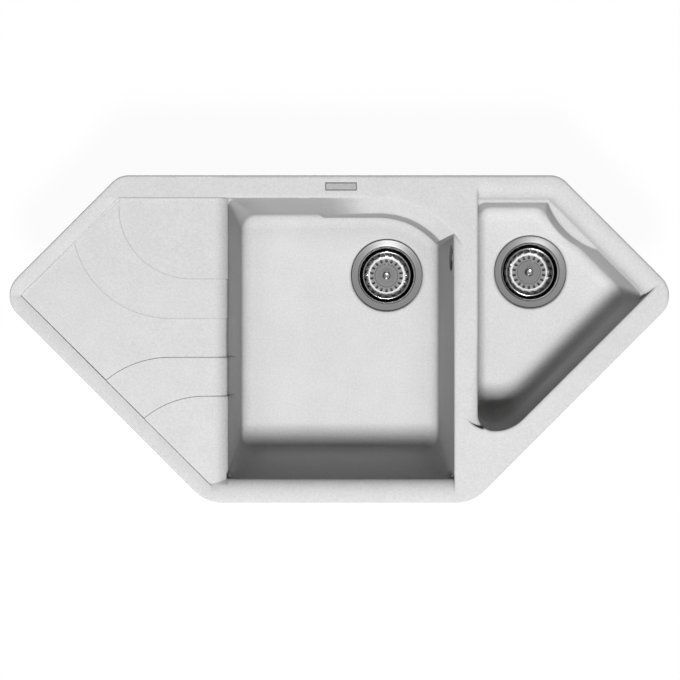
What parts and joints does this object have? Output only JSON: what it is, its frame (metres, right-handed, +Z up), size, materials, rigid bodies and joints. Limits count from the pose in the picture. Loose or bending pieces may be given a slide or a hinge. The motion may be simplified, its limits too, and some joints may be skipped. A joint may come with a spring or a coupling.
{
  "type": "corner kitchen sink",
  "caption": "Corner kitchen sink in moulded stone composite, with a drainer, a large and a small bowl, rolled rims and lift-out basket strainers.",
  "frame": {"origin": "middle of the sink's overall length and depth, in the plane of the worktop that the rim lies on", "axes": "+X along the back edge towards the small bowl, +Y to the back edge, +Z up out of the worktop"},
  "size_m": [0.9998, 0.496, 0.3076],
  "materials": {
    "stone_composite": "matt cast stone composite, warm white",
    "badge_steel": "polished steel plate",
    "polished_steel": "polished pressed steel",
    "basket_steel": "satin pressed steel",
    "screw_steel": "stainless steel screws and nuts",
    "clip_steel": "bent stainless strip",
    "zinc_steel": "zinc-plated screws",
    "brass": "turned",
    "rubber": "black rubber",
    "stopper_rubber": "dark grey rubber",
    "foam": "closed-cell foam strip",
    "nylon": "natural nylon",
    "black_plastic": "black moulded plastic"
  },
  "bodies": {
    "basket_main": {"basket_knob_main": "polished_steel", "basket_main": "basket_steel", "basket_stopper_main": "stopper_rubber", "stem_nut_main": "screw_steel"},
    "basket_small": {"basket_knob_small": "polished_steel", "basket_small": "basket_steel", "basket_stopper_small": "stopper_rubber", "stem_nut_small": "screw_steel"},
    "root": {"badge_plate": "badge_steel", "basin": "stone_composite", "body_gasket_main": "rubber", "body_gasket_small": "rubber", "clamp_screw_main": "screw_steel", "clamp_screw_small": "screw_steel", "clip_screws": "zinc_steel", "clip_sockets": "nylon", "fixing_clips": "clip_steel", "flange_seal_main": "rubber", "flange_seal_small": "rubber", "inlet_cap": "black_plastic", "overflow_hood": "black_plastic", "overflow_pipe": "black_plastic", "overflow_rosette": "polished_steel", "overflow_screw": "screw_steel", "overflow_seal": "rubber", "pipe_nuts": "black_plastic", "rim_seal": "foam", "screw_insert_main": "brass", "screw_insert_small": "brass", "strainer_bowl_main": "polished_steel", "strainer_bowl_small": "polished_steel", "waste_body_main": "black_plastic", "waste_body_small": "black_plastic"}
  },
  "joints": [
    {"name": "basket_main_lift", "type": "slide", "parent": "root", "child": "basket_main", "axis": [0, 0, 1], "range_m": [0, 0.26]},
    {"name": "basket_small_lift", "type": "slide", "parent": "root", "child": "basket_small", "axis": [0, 0, 1], "range_m": [0, 0.22]}
  ]
}
